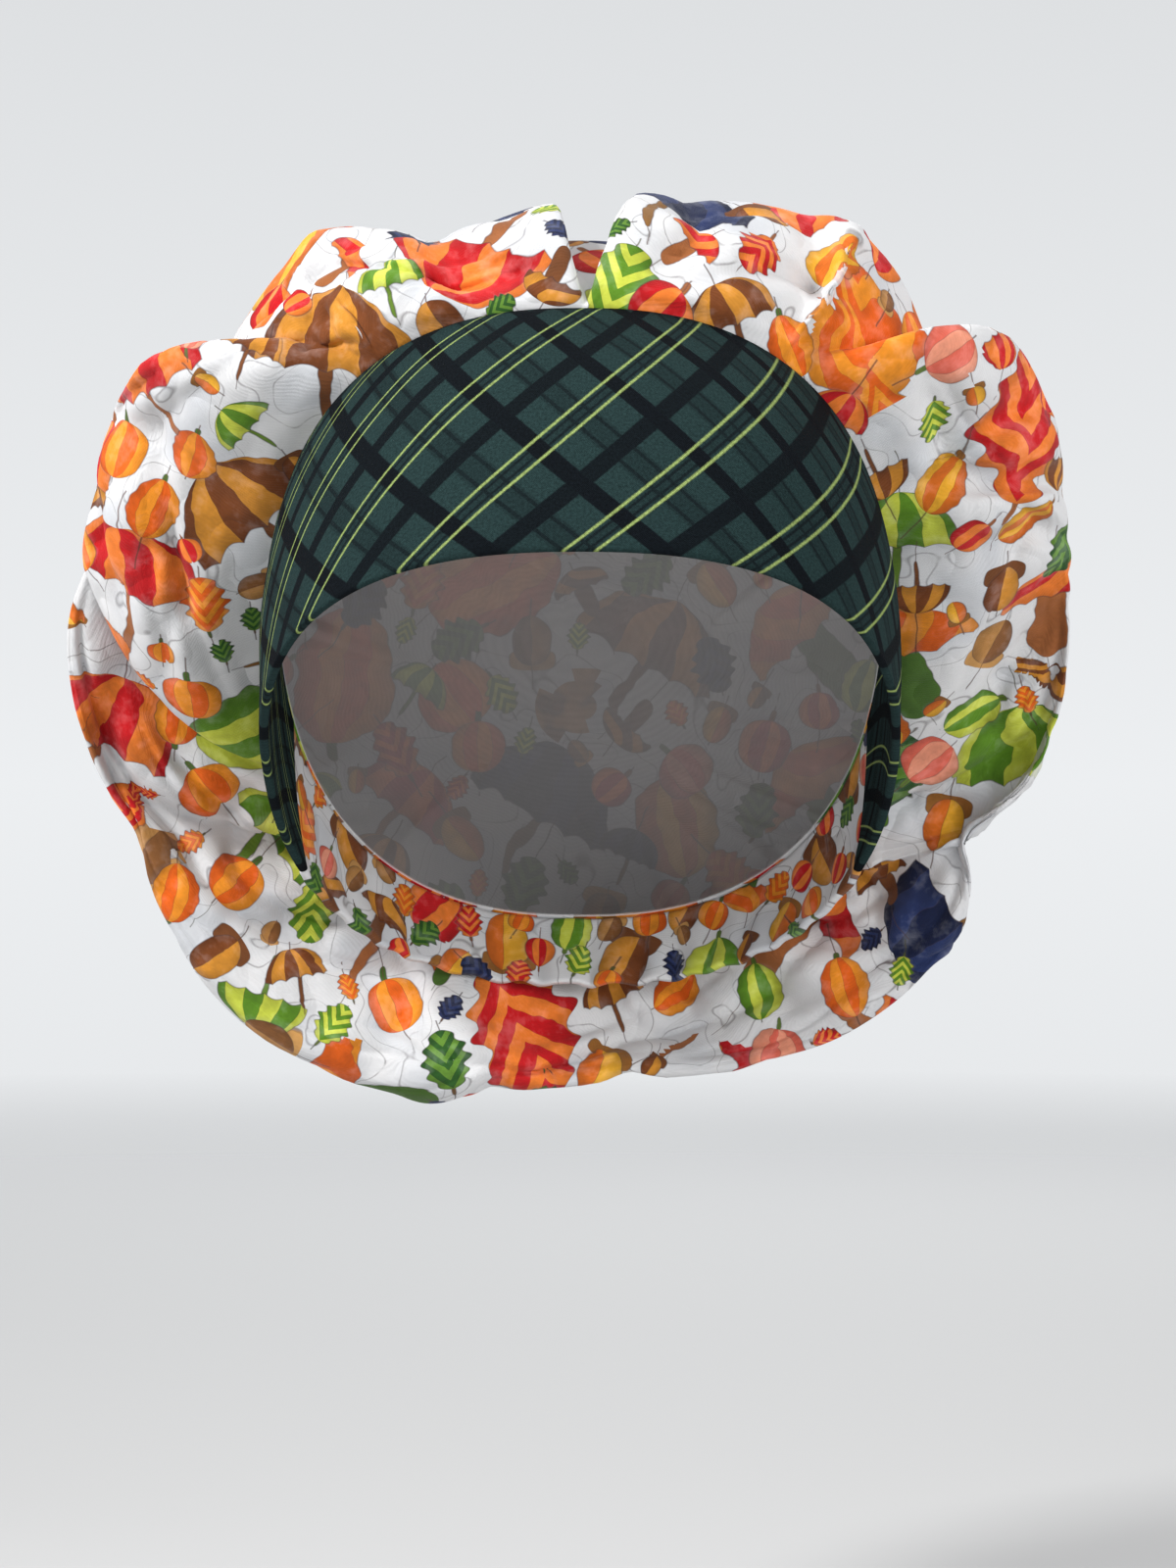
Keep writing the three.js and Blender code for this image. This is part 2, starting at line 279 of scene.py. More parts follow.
# In each row: seam, outline, lean, reach, rise, push, puff, columns.
FOLDS = (
    Fold(-167, -168, 0, 0.76, 0.05, 0.1, 0.4, 4),
    Fold(-152, -157, 0, 0.87, 0.06, 0.1, 0.4, 5),
    Fold(-141, -128, 4, 0.905, 0.01, 0.0, 0.5, 4),
    Fold(-130, -117, 6, 0.82, 0.06, 0.0, 0.5, 5),
    Fold(-115, -89.5, 6, 0.92, 0, -0.1, 0, 1),
    Fold(-114, -86, 11, 0.8, 0, -0.5, 0.2, 2),
    Fold(-112, -81, 0, 0.88, 0.04, 0.8, 0.5, 5),
    Fold(-68, -68, 4, 0.92, 0.01, 0.2, 0.4, 3),
    Fold(-44, -59.5, 0, 0.86, 0, 0.6, 0, 2),
    Fold(-38, -50, -4, 0.57, -0.01, -0.4, 0.4, 4),
    Fold(-35.5, -30, -3, 0.76, 0, -0.2, 0.5, 4),
    Fold(-18, -20, 0, 0.475, 0.02, 0.3, 0.2, 4),
    Fold(0, -3.6, 1, 0.56, 0, 0.3, 0, 1),
    Fold(0.7, -3, -3, 0.4, 0, -0.7, 0, 2),
    Fold(1.3, 6.6, 3, 0.4, 0, -0.7, 0, 1),
    Fold(2, 7.2, -1, 0.6, 0.02, 0.3, 0.2, 5),
    Fold(35.5, 25, 3, 0.7, 0.02, -0.3, 0.4, 3),
    Fold(37, 33, 2, 0.77, 0, 0.1, 0.1, 3),
    Fold(39, 50, 4, 0.54, 0, -0.4, 0, 2),
    Fold(44, 55.5, -1, 0.9, 0, 0.5, 0.3, 2),
    Fold(61, 59, 3, 0.935, 0.02, -0.1, 0.4, 3),
    Fold(66, 70, 2, 0.87, 0.01, 0.1, 0.5, 3),
    Fold(77, 79, -2, 0.85, 0.03, 0.1, 0.6, 5),
    Fold(111, 92, -8, 0.83, 0.02, -0.3, 0.6, 5),
    Fold(127, 108, -5, 0.8, 0.01, -0.2, 0.5, 4),
    Fold(137, 119, -3, 0.585, 0.09, -0.2, 0.5, 5),
    Fold(146, 133, -2, 0.83, 0.02, 0, 0.4, 4),
    Fold(160, 153, -1, 0.82, 0.02, 0.1, 0.4, 5),
    Fold(176, 174, 0, 0.7, 0.04, 0.1, 0.3, 4),
)


def put_mesh(name: str, points: Array, *tables: Array) -> bpy.types.Object:
    """Make an object from points in millimetres and tables of faces.

    Args:
        name: the object's and the mesh's name.
        points: one row for each vertex.
        tables: arrays with one row for each face, whose corners go round it as it is seen from outside.

    Returns:
        The object, linked to the scene.
    """
    corners = np.concatenate([faces.ravel() for faces in tables])
    sizes = np.concatenate([np.full(len(faces), faces.shape[1]) for faces in tables])
    mesh = bpy.data.meshes.new(name)
    mesh.vertices.add(len(points))
    mesh.vertices.foreach_set("co", (points * MM).astype(np.float32).ravel())
    mesh.loops.add(len(corners))
    mesh.loops.foreach_set("vertex_index", corners.astype(np.int32))
    mesh.polygons.add(len(sizes))
    mesh.polygons.foreach_set("loop_start", (np.cumsum(sizes) - sizes).astype(np.int32))
    mesh.update(calc_edges=True)
    mesh.validate()
    mesh.polygons.foreach_set("use_smooth", np.ones(len(sizes), dtype=bool))
    obj = bpy.data.objects.new(name, mesh)
    bpy.context.scene.collection.objects.link(obj)
    return obj


def put_facts(obj: bpy.types.Object, name: str, values: Array, domain: str) -> None:
    """Store a vector for each point, face or corner of an object's mesh, for its material to read."""
    layer = obj.data.attributes.new(name, "FLOAT_VECTOR", domain)
    layer.data.foreach_set("vector", values.astype(np.float32).ravel())


def read(items: bpy.types.bpy_prop_collection, name: str, width: int = 1) -> Array:
    """Read one property of all the items of a mesh.

    Args:
        items: the mesh's vertices, loops or polygons.
        name: the property.
        width: how many numbers it has.

    Returns:
        A row of numbers for each item, or one whole number for each where the width is 1.
    """
    values = np.empty(len(items) * width, dtype=np.float32 if width > 1 else np.int32)
    items.foreach_get(name, values)
    return values.reshape(-1, width).astype(float) if width > 1 else values


def grid_faces(rows: int, columns: int, round_columns: bool, round_rows: bool = False) -> Array:
    """List the faces of a grid of vertices, row by row.

    Args:
        rows: rows of vertices.
        columns: columns of vertices.
        round_columns: whether the last column meets the first.
        round_rows: whether the last row meets the first.

    Returns:
        Four vertex numbers for each face.
    """
    r = np.arange(rows if round_rows else rows - 1)[:, None]
    c = np.arange(columns if round_columns else columns - 1)[None, :]
    below, beside = (r + 1) % rows, (c + 1) % columns
    corners = [r * columns + c, r * columns + beside, below * columns + beside, below * columns + c]
    return np.stack(np.broadcast_arrays(*corners), -1).reshape(-1, 4)


class Noise(NamedTuple):
    """A noise of the cloth: its blur in columns and in rows, and its seed."""

    across: float
    along: float
    seed: int


class Crease(NamedTuple):
    """One set of creases: its noise's blur in columns and rows, slant in degrees, depth in mm and seed."""

    blur: Pair
    slant: float
    depth: float
    seed: int


@dataclass
class Bouffant:
    """The printed crown: one sheet from the seam out over the silhouette to the back, in millimetres.

    The fields that end in _in or _out give the places along the sheet, 0 at the seam, 1 at the silhouette
    and 2 at the back, between which something fades in or out. The handles shape the two Bezier curves,
    and held_at, held_width and held_share keep the wrinkles low beside the silhouette.
    """

    cut: Cut = field(default_factory=Cut)
    wall: float = 0.7
    reach: float = 56.0
    forward: float = 28.0
    widest_y: float = 40.0
    widest_lean: float = 45.0
    back_y: float = 149.0
    back_z: float = 22.0
    lip: float = 13.0
    settled_top: float = 0.5
    settled_side: float = 0.88
    settled_foot: float = 0.74
    handle_rise: float = 0.45
    handle_push: float = 0.4
    handle_turn: float = 0.35
    handle_full: float = 0.55
    handle_back: float = 0.62
    lean_in: Pair = (0.05, 0.6)
    lean_out: Pair = (1.0, 1.6)
    fold_out: Pair = (1.1, 1.8)
    middle_in: Pair = (0.6, 2.0)
    wrinkle_in: Pair = (0.03, 0.3)
    wrinkle_out: Pair = (1.5, 1.9)
    gather_in: Pair = (0.0, 0.1)
    gather_out: Pair = (0.3, 1.1)
    gather_noise: Noise = Noise(across=3.4, along=26.0, seed=11)
    gather_top: float = 0.8
    gather_foot: float = 1.3
    swell_noise: Noise = Noise(across=12.0, along=10.0, seed=5)
    swell: float = 3.4
    swell_mean: float = 0.6
    valley_slope: float = 1.4
    valley_power: float = 1.3
    held_at: float = 0.97
    held_width: float = 0.15
    held_share: float = 0.72
    least_room: float = 0.08
    room_reach: int = 5
    room_blurs: int = 12
    calm_blurs: int = 8
    fold_blurs: int = 2
    columns_per_step: int = 4
    front_rows: int = 64
    back_rows: int = 54
    flat: Pair = (0.50, 0.48)
    flat_area: float = 0.185
    creases: tuple[Crease, ...] = (
        Crease(blur=(7.0, 24.0), slant=0.0, depth=4.4, seed=23),
        Crease(blur=(6.0, 20.0), slant=36.0, depth=3.2, seed=37),
        Crease(blur=(6.0, 20.0), slant=-40.0, depth=3.2, seed=53),
        Crease(blur=(3.0, 9.0), slant=60.0, depth=1.0, seed=67),
        Crease(blur=(2.6, 10.0), slant=-20.0, depth=0.8, seed=71),
    )

    def columns(self) -> dict[str, Array]:
        """Mix the fold table's values over the fine columns.

        A value goes straight from one fold line to the next, and a puff adds
        1 - |2 across - 1| cubed, which is 0 at the fold lines and 1 midway.

        Returns:
            An array over the columns for each value.
        """
        values: dict[str, list[Array]] = {}
        for row, fold in enumerate(FOLDS):
            after = FOLDS[(row + 1) % len(FOLDS)]
            turn = FULL_TURN if row + 1 == len(FOLDS) else 0.0
            steps = fold.columns * self.columns_per_step
            across = np.arange(steps) / steps
            puff = 1.0 - np.abs(2.0 * across - 1.0) ** 3
            made = {
                "seam": mix(fold.seam, after.seam + turn, across),
                "outline": mix(fold.outline, after.outline + turn, across),
                "lean": mix(fold.lean, after.lean, across),
                "reach": mix(fold.reach, after.reach, across) + fold.rise * puff,
                "push": mix(fold.push, after.push, across) + fold.puff * puff,
            }
            for name, array in made.items():
                values.setdefault(name, []).append(array)
        return {name: np.concatenate(arrays) for name, arrays in values.items()}

    def surface(self) -> tuple[Array, Array]:
        """Work out the crown's outer face before its wrinkles.

        Round the hub's axis, a column's radius and depth follow one Bezier curve from the seam to the
        silhouette and another from there to the back, and its angle goes from the seam's to the outline's.

        Returns:
            Points [row, column] and how far along each row is: 0 seam, 1 silhouette, 2 back.
        """
        column = self.columns()
        front = np.linspace(0.0, 1.0, self.front_rows)
        back = np.linspace(1.0, 2.0, self.back_rows + 1)[1:]
        along = np.concatenate([front, back])[:, None]
        seam = self.cut.seam(column["seam"], self.cut.band_wall + self.cut.seam_gap)
        height = seam[:, 2] - self.cut.hub_z
        seam_radius = np.hypot(seam[:, 0], height)
        turn = np.degrees(np.arctan2(seam[:, 0], height))
        turn = turn + FULL_TURN * np.round((column["seam"] - turn) / FULL_TURN)
        leaning = smooth(along, *self.lean_in) * (1.0 - smooth(along, *self.lean_out))
        turned_to = mix(turn, column["outline"], smooth(along, 0.0, 1.0))
        angle = np.radians(turned_to + column["lean"] * leaning)
        upright = np.cos(angle)
        folded = 1.0 - smooth(along, *self.fold_out)
        end = np.where(upright > 0.0, self.settled_top, self.settled_foot)
        settled = mix(self.settled_side, end, upright**2)
        radius = seam_radius + self.reach * mix(settled, column["reach"], folded)
        rise = radius - seam_radius
        push = self.forward * column["push"]
        widest_y = self.widest_y - self.widest_lean * upright
        t = np.minimum(along, 1.0)
        outward = cubic(seam_radius, seam_radius + self.handle_rise * rise, radius, radius, t)
        turned = mix(seam[:, 1], widest_y, self.handle_turn) - push
        turned = np.minimum(turned, widest_y - self.lip)
        y = cubic(seam[:, 1], seam[:, 1] - self.handle_push * push, turned, widest_y, t)
        t = np.maximum(along - 1.0, 0.0)
        behind = along > 1.0
        inward = cubic(radius, radius, self.handle_back * radius, 0.0 * radius, t)
        outward = np.where(behind, inward, outward)
        full = mix(widest_y, self.back_y, self.handle_full)
        y = np.where(behind, cubic(widest_y, full, self.back_y, self.back_y, t), y)
        middle_z = mix(self.cut.hub_z, self.back_z, smooth(along, *self.middle_in))
        points = np.stack([outward * np.sin(angle), y, middle_z + outward * upright], -1)
        return points, along[:, 0]

    @staticmethod
    def normals(points: Array) -> Array:
        """Work out the way out of the sheet: the cross product of its row and column directions.

        Args:
            points: the sheet [row, column].

        Returns:
            A vector of length 1 for each point.
        """
        around = np.roll(points, -1, axis=1) - np.roll(points, 1, axis=1)
        along = np.gradient(points, axis=0)
        return unit(np.cross(around, along))

    def calm_normals(self, points: Array) -> Array:
        """Average the normals over their neighbours.

        Args:
            points: the outer face [row, column].

        Returns:
            A vector of length 1 for each face of the finished mesh.
        """
        ways = self.normals(points)
        for _ in range(self.calm_blurs):
            ways = eased(ways, axis=1)
            ways[1:-1] = (ways[:-2] + 2.0 * ways[1:-1] + ways[2:]) / 4.0
        return unit(ways).reshape(-1, 3)

    def room(self) -> Array:
        """How freely each column may wrinkle: 1 in the open, and near 0 where the cloth doubles back.

        It is the step in angle to the next column over the usual step, the least over the neighbours on
        both sides, and then blurred.

        Returns:
            A share for each column.
        """
        column = self.columns()
        middle = column["outline"] + column["lean"]
        step = np.roll(middle, -1) - middle
        step = np.where(step < -0.5 * FULL_TURN, step + FULL_TURN, step)
        free = np.clip(step / np.median(step), self.least_room, 1.0)
        shifts = range(-self.room_reach, self.room_reach + 1)
        free = np.min([np.roll(free, shift) for shift in shifts], axis=0)
        for _ in range(self.room_blurs):
            free = eased(free)
        return free

    def wrinkled(self, points: Array, along: Array) -> Array:
        """Round off the fold lines and add the cloth's own soft dents, creases and gathers.

        Args:
            points: the outer face [row, column].
            along: how far along each row is.

        Returns:
            The points moved along their normals.
        """
        for _ in range(self.fold_blurs):
            points = eased(points, axis=1)
        shape = points.shape[:2]
        rows = along[:, None]
        low = smooth(-np.cos(np.arctan2(points[..., 0], points[..., 2] - self.cut.hub_z)), 0.0, 0.8)
        clear = smooth(rows, *self.wrinkle_in)
        pole = (1.0 - smooth(rows, *self.wrinkle_out)) * self.room()[None, :]
        gathers = cloth_noise(shape, *self.gather_noise) * (self.gather_top + self.gather_foot * low)
        gathers = gathers * smooth(rows, *self.gather_in) * (1.0 - smooth(rows, *self.gather_out))
        swell = self.swell * np.tanh(cloth_noise(shape, *self.swell_noise)) + self.swell_mean
        move = gathers + swell * clear
        for crease in self.creases:
            noise = cloth_noise(shape, *crease.blur, crease.seed, crease.slant)
            valley = np.maximum(1.0 - np.abs(noise) * self.valley_slope, 0.0)
            move = move - crease.depth * valley**self.valley_power * clear
        held = 1.0 - self.held_share * np.exp(-(((rows - self.held_at) / self.held_width) ** 2))
        return points + self.normals(points) * (move * pole * held)[..., None]

    def build(self) -> bpy.types.Object:
        """Make the crown's mesh, lay out its print and give it its wall.

        Returns:
            The crown.
        """
        smooth_points, along = self.surface()
        points = self.wrinkled(smooth_points, along)
        rows, columns = points.shape[:2]
        edge = self.cut.seam(self.columns()["seam"], 0.0)
        points = np.concatenate([edge[None], points[:-1]])
        pole = np.array([[0.0, self.back_y, self.back_z]])
        faces = grid_faces(rows, columns, round_columns=True)
        last = (rows - 1) * columns + np.arange(columns)
        cap = np.stack([last, np.roll(last, -1), np.full(columns, rows * columns)], -1)
        obj = put_mesh("bouffant_cloth", np.concatenate([points.reshape(-1, 3), pole]), faces, cap)
        Scatter().dress(obj, self.calm_normals(smooth_points))
        wall = obj.modifiers.new("wall", "SOLIDIFY")
        wall.thickness = self.wall * MM
        wall.offset = -1.0
        wall.material_offset = 1
        wall.material_offset_rim = 1
        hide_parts("bouffant")
        return obj


class Motif(NamedTuple):
    """A motif of the print, drawn in a circle of radius 1: a main form and a minor one.

    A form is a bar of half width wide round the middle line, with its middle at centre and its half height
    tall. main_power squares off the main form, main_cut cuts its foot away and lobes notch its edge, and
    gores, waves and chevron draw its stripes.
    """

    main_wide: float
    main_centre: float
    main_tall: float
    main_power: float
    main_cut: float
    lobes: float
    gores: float
    waves: float
    chevron: float
    minor_wide: float
    minor_centre: float
    minor_tall: float


class Shape(Enum):
    """The kinds of motif that the print scatters."""

    # In each row: wide, centre, tall, power, cut, lobes, gores, waves, chevron, minor wide, centre, tall.
    LEAF = Motif(0.64, 0.1, 0.85, 1.5, -2.0, 0.15, 0.0, 13.0, 1.1, 0.05, -0.75, 0.25)
    UMBRELLA = Motif(0.95, -0.1, 0.92, 2.0, -0.1, 0.0, 7.5, 0.0, 0.0, 0.06, -0.3, 0.62)
    MUSHROOM = Motif(0.86, 0.0, 0.72, 2.2, 0.02, 0.0, 4.0, 9.0, 0.3, 0.24, -0.3, 0.6)
    ACORN = Motif(0.56, -0.15, 0.76, 2.2, -2.0, 0.0, 3.0, 0.0, 0.0, 0.66, 0.42, 0.33)
    APPLE = Motif(0.84, -0.08, 0.76, 2.4, -2.0, 0.0, 5.5, 0.0, 0.0, 0.09, 0.78, 0.24)
    GOURD = Motif(0.66, -0.05, 0.86, 2.0, -2.0, 0.03, 6.0, 0.0, 0.0, 0.08, 0.84, 0.16)


class Ink(Enum):
    """Pairs of the print's colours, and the colour of the minor form, as linear red, green and blue."""

    MUSTARD = ((0.66, 0.27, 0.03), (0.2, 0.055, 0.012), (0.15, 0.05, 0.015))
    SCARLET = ((0.6, 0.008, 0.012), (0.9, 0.22, 0.03), (0.3, 0.1, 0.03))
    LIME = ((0.11, 0.26, 0.015), (0.6, 0.66, 0.07), (0.1, 0.18, 0.02))
    FOREST = ((0.025, 0.1, 0.015), (0.12, 0.26, 0.03), (0.2, 0.09, 0.02))
    NAVY = ((0.006, 0.012, 0.05), (0.02, 0.035, 0.12), (0.2, 0.09, 0.02))
    PUMPKIN = ((0.82, 0.13, 0.008), (0.9, 0.3, 0.02), (0.06, 0.13, 0.02))
    GOLD = ((0.85, 0.42, 0.03), (0.72, 0.16, 0.015), (0.25, 0.1, 0.02))
    PEACH = ((0.85, 0.32, 0.2), (0.75, 0.14, 0.09), (0.1, 0.18, 0.03))
    STRAW = ((0.5, 0.24, 0.07), (0.25, 0.1, 0.03), (0.5, 0.26, 0.08))


INKS_OF = {
    Shape.LEAF: (Ink.PUMPKIN, Ink.FOREST, Ink.LIME, Ink.SCARLET, Ink.FOREST, Ink.NAVY),
    Shape.UMBRELLA: (Ink.MUSTARD, Ink.SCARLET, Ink.LIME, Ink.MUSTARD, Ink.SCARLET, Ink.NAVY),
    Shape.MUSHROOM: (Ink.SCARLET, Ink.MUSTARD, Ink.SCARLET, Ink.PUMPKIN),
    Shape.ACORN: (Ink.STRAW, Ink.MUSTARD, Ink.GOLD),
    Shape.APPLE: (Ink.SCARLET, Ink.PEACH, Ink.PUMPKIN, Ink.SCARLET),
    Shape.GOURD: (Ink.PUMPKIN, Ink.LIME, Ink.GOLD, Ink.PUMPKIN),
}


class Layer(NamedTuple):
    """One layer of the print: the start of its facts' names, and for each size a radius and the throws."""

    name: str
    sizes: tuple[tuple[float, int], ...]


@dataclass
class Scatter:
    """The print's layout: large motifs clear of each other, and small ones over them, in millimetres.

    A motif keeps off the one below by under_share of that one's radius and over_share of its own. A face
    that is turned away from a motif past turn_free counts as further from it, by turn_cost. The share
    upended of the motifs hangs head down, and each leans by at most max_turn radians.
    """

    layers: tuple[Layer, ...] = (
        Layer("large", ((23.0, 3000), (17.5, 4500), (13.0, 8000))),
        Layer("small", ((9.5, 9000), (7.0, 12000), (4.6, 12000))),
    )
    closeness: float = 0.93
    under_share: float = 0.8
    over_share: float = 0.1
    turn_free: float = 0.35
    turn_cost: float = 1.5
    upended: float = 0.25
    max_turn: float = 0.9
    least_seen: float = 0.3
    upward: Spot = (0.15, 0.25, 1.0)
    small_below: float = 8.0
    middle_below: float = 15.0
    seed: int = 41
    chunk: int = 4000

    def centres(
        self, layer: Layer, places: Array, below: Array, rng: np.random.Generator
    ) -> tuple[Array, Array]:
        """Throw motifs on the cloth, the largest first, and keep each that lies clear of the others.

        Args:
            layer: the layer to fill.
            places: the middles of the faces.
            below: the centres and radii of the motifs under this layer, one row each.
            rng: the source of the random draws.

        Returns:
            The motifs' faces and radii.
        """
        kept = np.empty((0, 4))
        faces: list[int] = []
        for radius, tries in layer.sizes:
            for face in rng.integers(0, len(places), tries):
                own = np.linalg.norm(kept[:, :3] - places[face], axis=1)
                own = own - (kept[:, 3] + radius) * self.closeness
                under = np.linalg.norm(below[:, :3] - places[face], axis=1)
                under = under - below[:, 3] * self.under_share - radius * self.over_share
                if min(own.min(initial=1.0), under.min(initial=1.0)) > 0.0:
                    kept = np.vstack([kept, [*places[face], radius]])
                    faces.append(int(face))
        return np.array(faces), kept[:, 3]

    def dress(self, obj: bpy.types.Object, calm: Array | None = None) -> None:
        """Store what the print's material needs to draw each layer's nearest motif on each face.

        Args:
            obj: the cloth.
            calm: the faces' normals before the cloth was wrinkled, if it was.
        """
        mesh = obj.data
        places = read(mesh.polygons, "center", 3) / MM
        ways = read(mesh.polygons, "normal", 3) if calm is None else calm
        points = read(mesh.vertices, "co", 3) / MM
        corners = read(mesh.loops, "vertex_index")
        totals = read(mesh.polygons, "loop_total")
        put_facts(obj, "cloth_place", points, "POINT")
        rng = np.random.default_rng(self.seed)
        below = np.empty((0, 4))
        for layer in self.layers:
            faces, radii = self.centres(layer, places, below, rng)
            centres, normals = places[faces], ways[faces]
            nearest = self.nearest(places, ways, centres, normals, radii)
            motif = np.repeat(nearest, totals)
            local = self.unrolled(points[corners] - centres[motif], normals, motif, rng)
            local = local / radii[motif, None]
            put_facts(obj, f"{layer.name}_place", np.column_stack([local, radii[motif]]), "CORNER")
            self.put_looks(obj, layer, nearest, radii, rng)
            below = np.column_stack([centres, radii])
            LOG.info("%s: %d %s motifs", obj.name, len(radii), layer.name)

    def nearest(
        self, places: Array, ways: Array, centres: Array, normals: Array, radii: Array
    ) -> Array:
        """Find each face's motif: the least distance over radius, with more for a face turned away.

        Args:
            places: the middles of the faces.
            ways: the normals of the faces.
            centres: the motifs' centres.
            normals: the motifs' normals.
            radii: the motifs' radii.

        Returns:
            The number of a motif for each face.
        """
        found = np.empty(len(places), dtype=int)
        for start in range(0, len(places), self.chunk):
            part = slice(start, start + self.chunk)
            apart = np.linalg.norm(places[part, None, :] - centres, axis=2) / radii
            turned = np.maximum(self.turn_free - ways[part] @ normals.T, 0.0)
            found[part] = (apart + self.turn_cost * turned).argmin(1)
        return found

    def unrolled(
        self, away: Array, normals: Array, motif: Array, rng: np.random.Generator
    ) -> Array:
        """Lay the cloth near each motif flat.

        A point keeps its direction as seen along the normal, at its full distance.

        Args:
            away: the way from the motif's centre to each corner.
            normals: the motifs' normals.
            motif: each corner's motif.
            rng: the source of the motifs' turns.

        Returns:
            Two coordinates for each corner.
        """
        side = unit(np.cross(normals, np.array(self.upward)))
        flipped = np.where(rng.random(len(normals)) < self.upended, np.pi, 0.0)
        turn = (rng.uniform(-self.max_turn, self.max_turn, len(normals)) + flipped)[:, None]
        up = np.cross(side, normals)
        right = side * np.cos(turn) + up * np.sin(turn)
        above = up * np.cos(turn) - side * np.sin(turn)
        local = np.stack([(away * right[motif]).sum(1), (away * above[motif]).sum(1)], -1)
        length = np.linalg.norm(away, axis=1)
        seen = np.maximum(np.linalg.norm(local, axis=1), self.least_seen * length + 1e-6)
        return local * (length / seen)[:, None]

    def put_looks(
        self,
        obj: bpy.types.Object,
        layer: Layer,
        nearest: Array,
        radii: Array,
        rng: np.random.Generator,
    ) -> None:
        """Draw a shape and inks for each motif of a layer and store them on its faces.

        Args:
            obj: the cloth.
            layer: the layer, whose name starts the facts' names.
            nearest: each face's motif.
            radii: the motifs' radii.
            rng: the source of the random draws.
        """
        small = (Shape.APPLE, Shape.LEAF, Shape.ACORN, Shape.LEAF)
        middle = (Shape.LEAF, Shape.MUSHROOM, Shape.GOURD, Shape.ACORN, Shape.UMBRELLA, Shape.APPLE)
        large = (Shape.UMBRELLA, Shape.UMBRELLA, Shape.GOURD, Shape.LEAF, Shape.UMBRELLA, Shape.MUSHROOM)
        looks: list[Array] = []
        for radius in radii:
            bigger = middle if radius < self.middle_below else large
            choice = small if radius < self.small_below else bigger
            shape = choice[rng.integers(len(choice))]
            inks = INKS_OF[shape]
            ink = inks[rng.integers(len(inks))].value
            looks.append(np.concatenate([np.array(shape.value), *map(np.array, ink)]))
        facts = np.array(looks)[nearest]
        names = "main_form main_trim main_stripes minor_form ink_main ink_stripe ink_minor".split()
        for number, name in enumerate(names):
            put_facts(obj, f"{layer.name}_{name}", facts[:, 3 * number : 3 * number + 3], "FACE")


@dataclass
class FrontBand:
    """The plaid band: two layers of cloth folded at the lower rim, in millimetres."""

    cut: Cut = field(default_factory=Cut)
    columns: int = 240
    rows: int = 34
    fold_steps: int = 6
    height: float = 70.0
    fine_noise: Noise = Noise(across=5.0, along=3.0, seed=71)
    fine_ripple: float = 0.12
    broad_noise: Noise = Noise(across=16.0, along=6.0, seed=72)
    broad_ripple: float = 0.2
    calm_from: float = 0.995
    flat: Pair = (0.36, 0.068)

    def build(self) -> bpy.types.Object:
        """Make the band, whose section runs up the outer layer, down the inner one and round the rim.

        Each point lies at a share of the way from rim to seam, and at a lift off the hollow. The rim is
        half a circle as wide as the wall.

        Returns:
            The band.
        """
        azimuth = np.linspace(-self.cut.band_end, self.cut.band_end, self.columns + 1)
        wall = self.cut.band_wall
        height = self.height
        turn = np.linspace(0.0, np.pi, self.fold_steps + 2)
        round_share = wall / 2.0 / height * (1.0 - np.sin(turn))
        round_lift = wall / 2.0 * (1.0 - np.cos(turn))
        up = np.linspace(round_share[-1], 1.0, self.rows)
        share = np.concatenate([round_share, up[1:], up[::-1][:-1]])
        lift = np.concatenate([round_lift, np.full(self.rows - 1, wall), np.zeros(self.rows - 1)])
        shape = (len(share), len(azimuth))
        ripple = cloth_noise(shape, *self.fine_noise) * self.fine_ripple
        ripple = ripple + cloth_noise(shape, *self.broad_noise) * self.broad_ripple
        outer = (lift > wall * 0.99) & (share < self.calm_from)
        lifts = lift[:, None] + ripple * outer[:, None]
        points = self.cut.strip(azimuth[None, :], share[:, None], lifts)
        faces = grid_faces(*shape, round_columns=False, round_rows=True)
        first = np.arange(shape[0]) * shape[1]
        ends = np.stack([first, (first + shape[1] - 1)[::-1]])
        obj = put_mesh("band_cloth", points.reshape(-1, 3), faces, ends)
        run = self.run_of(azimuth)
        rise = np.broadcast_to((share * height)[:, None], shape)
        place = np.stack([np.broadcast_to(run, shape), rise, np.zeros(shape)], -1)
        put_facts(obj, "cloth_place", place.reshape(-1, 3), "POINT")
        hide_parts("front_band")
        return obj

    def run_of(self, azimuth: Array) -> Array:
        """Measure the way along the band's middle.

        Args:
            azimuth: degrees from the front.

        Returns:
            Millimetres from the front, below 0 on the left.
        """
        middle = self.cut.strip(azimuth, np.full(azimuth.shape, 0.5), self.cut.band_wall)
        steps = np.linalg.norm(np.diff(middle, axis=0), axis=1)
        run = np.concatenate([[0.0], np.cumsum(steps)])
        return run - run[len(run) // 2]


